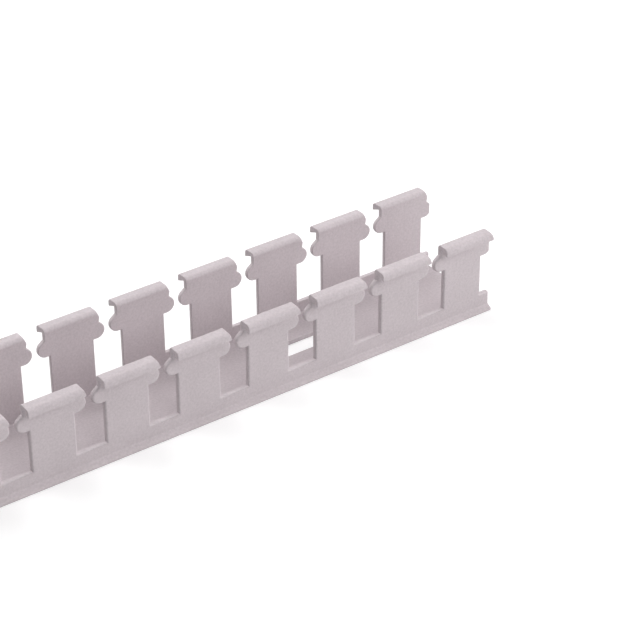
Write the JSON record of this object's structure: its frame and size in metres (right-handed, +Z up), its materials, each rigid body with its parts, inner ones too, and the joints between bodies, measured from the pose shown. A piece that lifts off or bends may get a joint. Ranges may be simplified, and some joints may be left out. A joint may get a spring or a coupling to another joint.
{
  "type": "slotted wire duct",
  "caption": "Open rigid PVC wiring duct: a U channel with eared slotted fingers, outward lips for a clip-on cover, side feet and oblong mounting holes in its floor.",
  "frame": {"origin": "on the underside, at the middle of the length and of the width", "axes": "+X along the duct towards the end that the picture shows, +Z up from the underside to the open top"},
  "size_m": [0.5, 0.031, 0.0239],
  "materials": {
    "grey_pvc": "matte"
  },
  "bodies": {
    "root": {"duct_base": "grey_pvc"}
  },
  "joints": []
}
